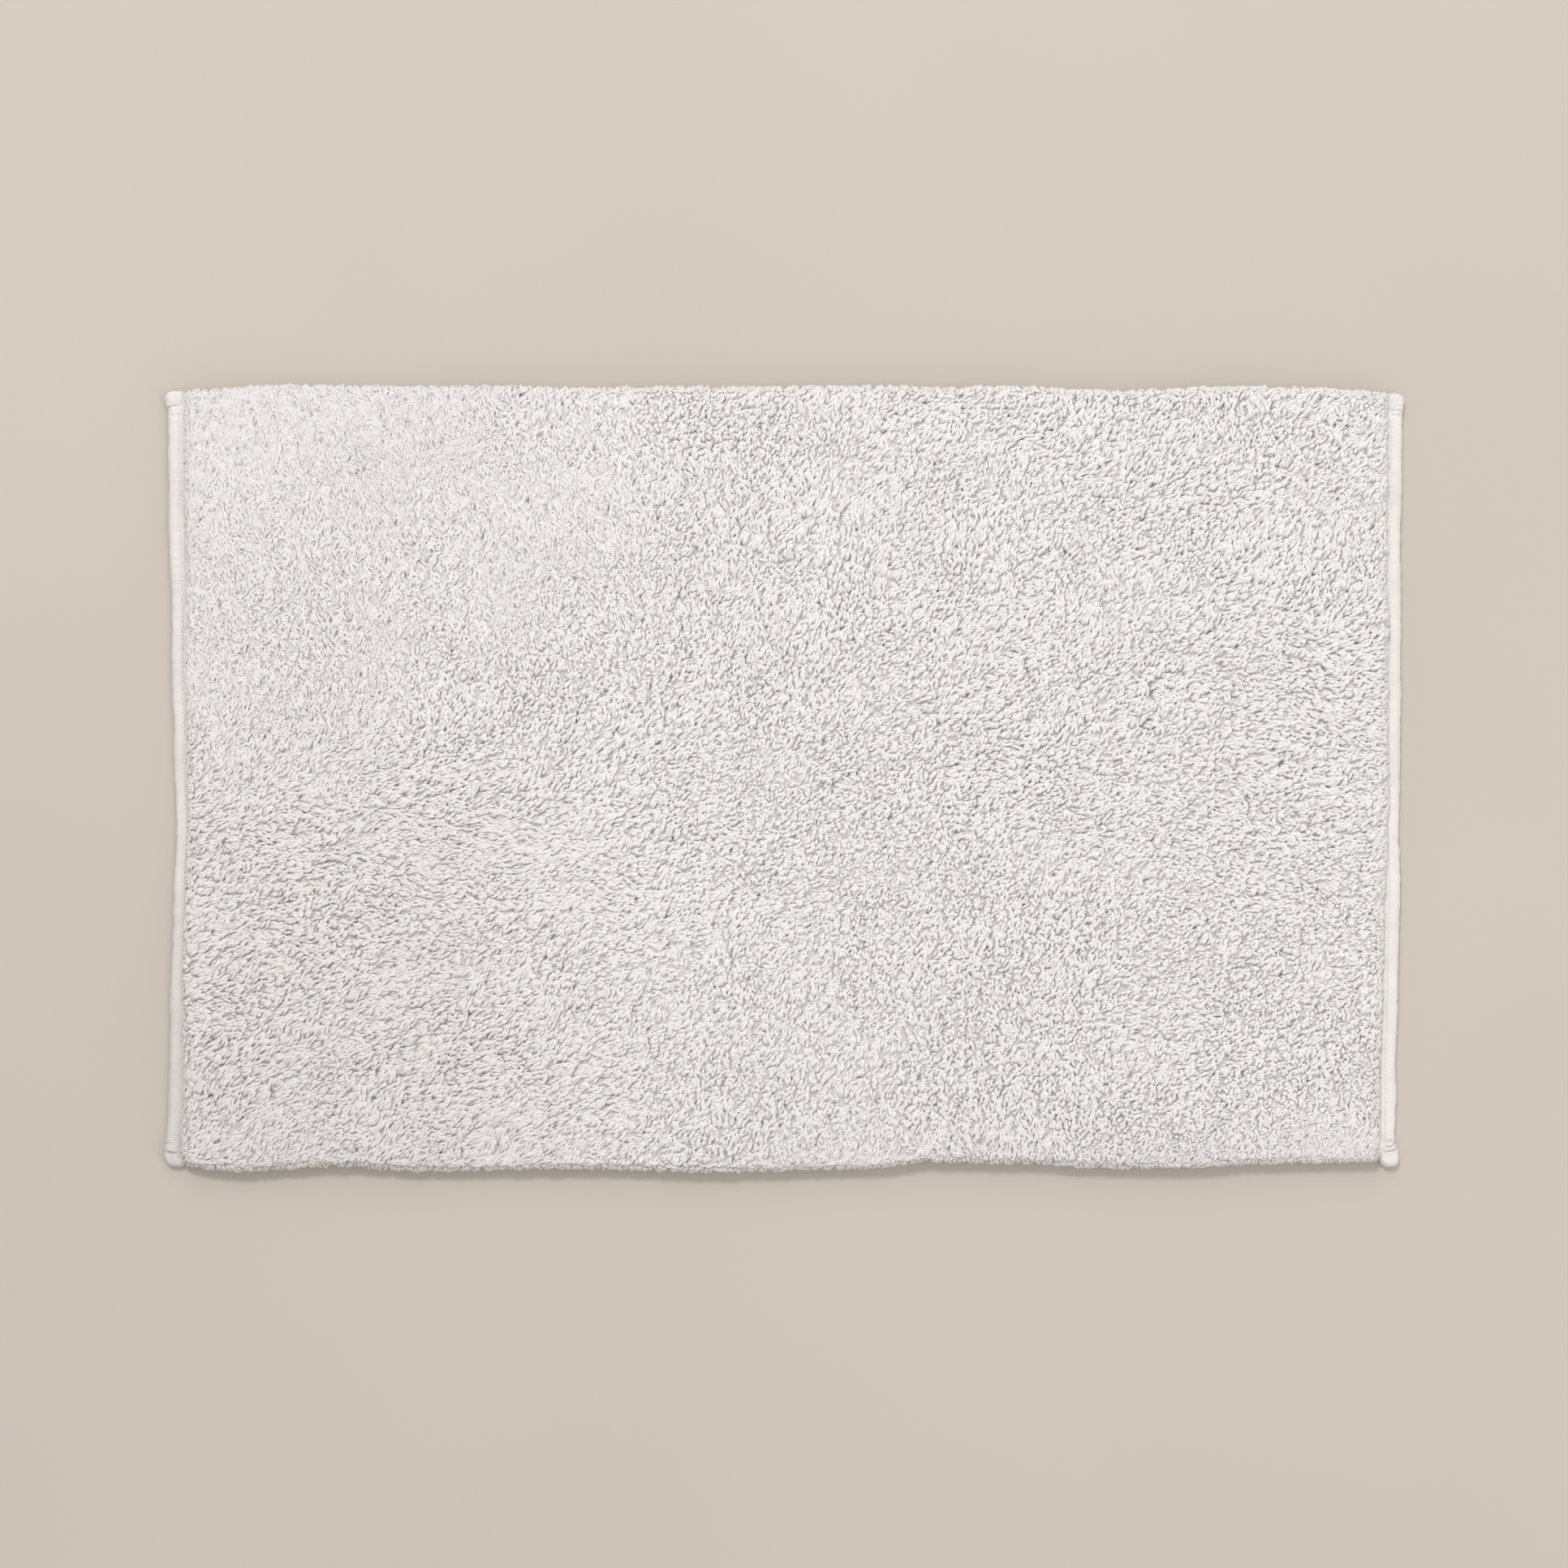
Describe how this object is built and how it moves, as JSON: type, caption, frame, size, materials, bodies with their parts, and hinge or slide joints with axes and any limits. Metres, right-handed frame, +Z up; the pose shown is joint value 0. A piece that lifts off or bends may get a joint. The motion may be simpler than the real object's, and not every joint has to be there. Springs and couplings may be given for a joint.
{
  "type": "bath mat",
  "caption": "Rectangular tufted cotton bath mat with deep pile, taped and stitched edges, tacked corners and a non-slip latex underside.",
  "frame": {"origin": "middle of the underside, on the floor that the mat lies on", "axes": "+X along the mat's length, +Y across its width, +Z up out of the pile"},
  "size_m": [0.813, 0.514, 0.018],
  "materials": {
    "pile_cotton": "matte",
    "binding_tape": "matte",
    "ground_canvas": "matte",
    "latex": "matte",
    "sewing_thread": "matte",
    "label_satin": "satin"
  },
  "bodies": {
    "root": {"pile": "pile_cotton", "ground_cloth": "ground_canvas", "latex_backing": "latex", "care_label": "label_satin", "left_end_binding": "binding_tape", "right_end_binding": "binding_tape", "front_side_binding": "binding_tape", "back_side_binding": "binding_tape", "left_end_needle_thread": "sewing_thread", "left_end_bobbin_thread": "sewing_thread", "right_end_needle_thread": "sewing_thread", "right_end_bobbin_thread": "sewing_thread", "front_side_needle_thread": "sewing_thread", "front_side_bobbin_thread": "sewing_thread", "back_side_needle_thread": "sewing_thread", "back_side_bobbin_thread": "sewing_thread", "front_left_corner_tack": "sewing_thread", "front_right_corner_tack": "sewing_thread", "back_left_corner_tack": "sewing_thread", "back_right_corner_tack": "sewing_thread"}
  },
  "joints": []
}
